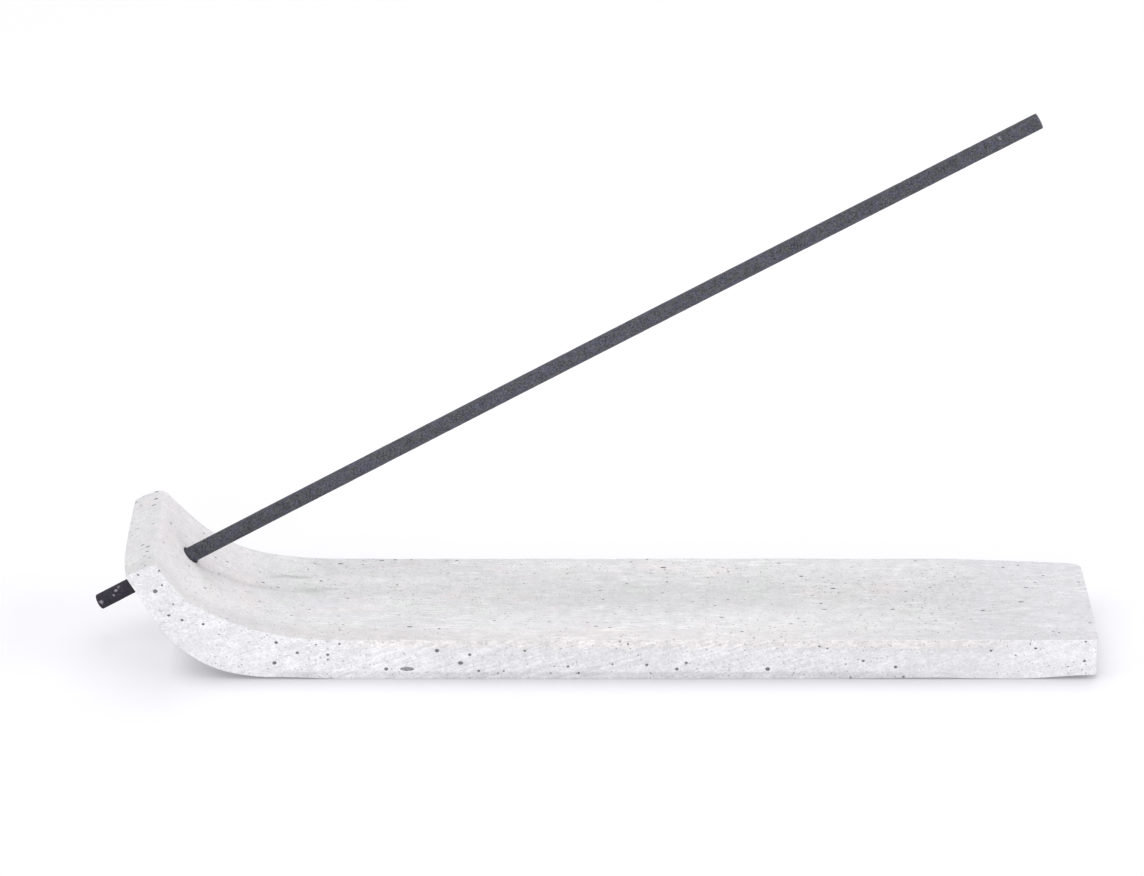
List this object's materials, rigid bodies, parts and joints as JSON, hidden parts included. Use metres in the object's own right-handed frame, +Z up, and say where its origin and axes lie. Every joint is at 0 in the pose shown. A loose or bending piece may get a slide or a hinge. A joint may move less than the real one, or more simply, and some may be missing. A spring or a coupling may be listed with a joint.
{
  "type": "incense burner",
  "caption": "Concrete incense burner: a slab tray with a shallow ash trough curls up at one end, where a slanted hole holds a charcoal incense stick over the bed.",
  "frame": {"origin": "on the flat resting face, at the middle of the bed's length and of the tray's width", "axes": "+X along the bed from the raised end to the free end, +Y across the tray, +Z up; the stick lies in a plane parallel to XZ and rises towards +X"},
  "size_m": [0.2168, 0.037, 0.1234],
  "materials": {
    "concrete": "matte",
    "charcoal_incense": "matte"
  },
  "bodies": {
    "tray": {"tray": "concrete"},
    "stick": {"incense_stick": "charcoal_incense"}
  },
  "joints": [
    {"name": "stick_slide", "type": "slide", "parent": "tray", "child": "stick", "axis": [0.8686, 0, 0.4955], "range_m": [-0.0124, 0.045]}
  ]
}
